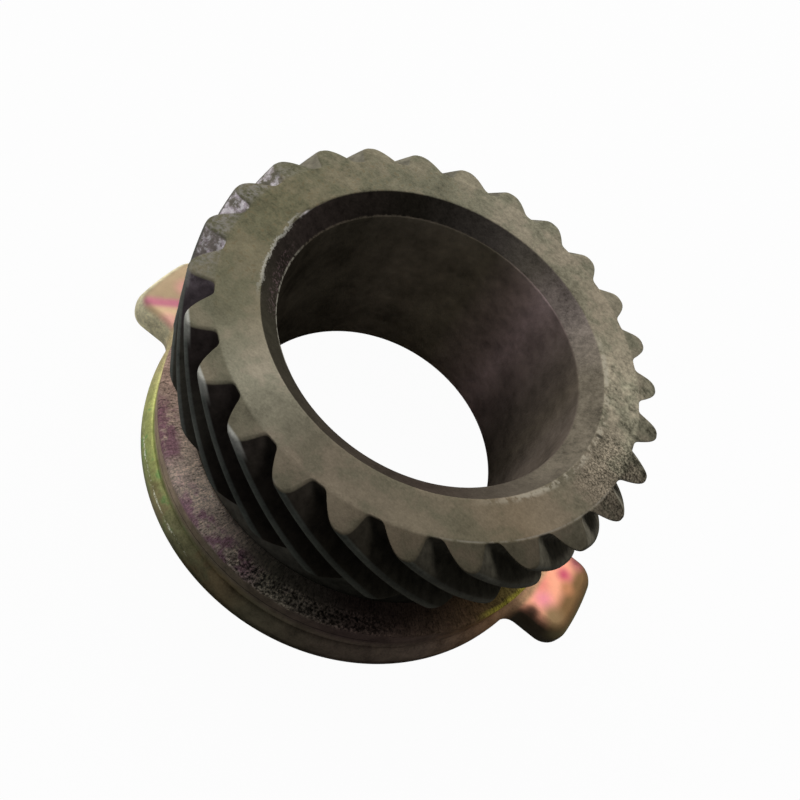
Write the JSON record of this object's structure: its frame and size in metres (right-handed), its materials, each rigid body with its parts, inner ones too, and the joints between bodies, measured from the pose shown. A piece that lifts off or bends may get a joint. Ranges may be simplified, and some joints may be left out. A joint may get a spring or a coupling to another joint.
{
  "type": "speedometer drive gear",
  "caption": "Left-hand helical drive gear on a sleeve with a large bore, with a pressed flange that carries two opposite drive lugs.",
  "frame": {"origin": "centre of the underside, on the bore axis", "axes": "+Z along the bore axis towards the toothed face, +X through the middle of one drive lug"},
  "size_m": [0.06, 0.048, 0.0242],
  "materials": {
    "gear_steel": "olive passivated, fine grain",
    "plated_steel": "yellow passivated zinc plating with iridescent pink and green patches"
  },
  "bodies": {
    "root": {"helical_gear": "gear_steel", "lugged_flange": "plated_steel"}
  },
  "joints": []
}
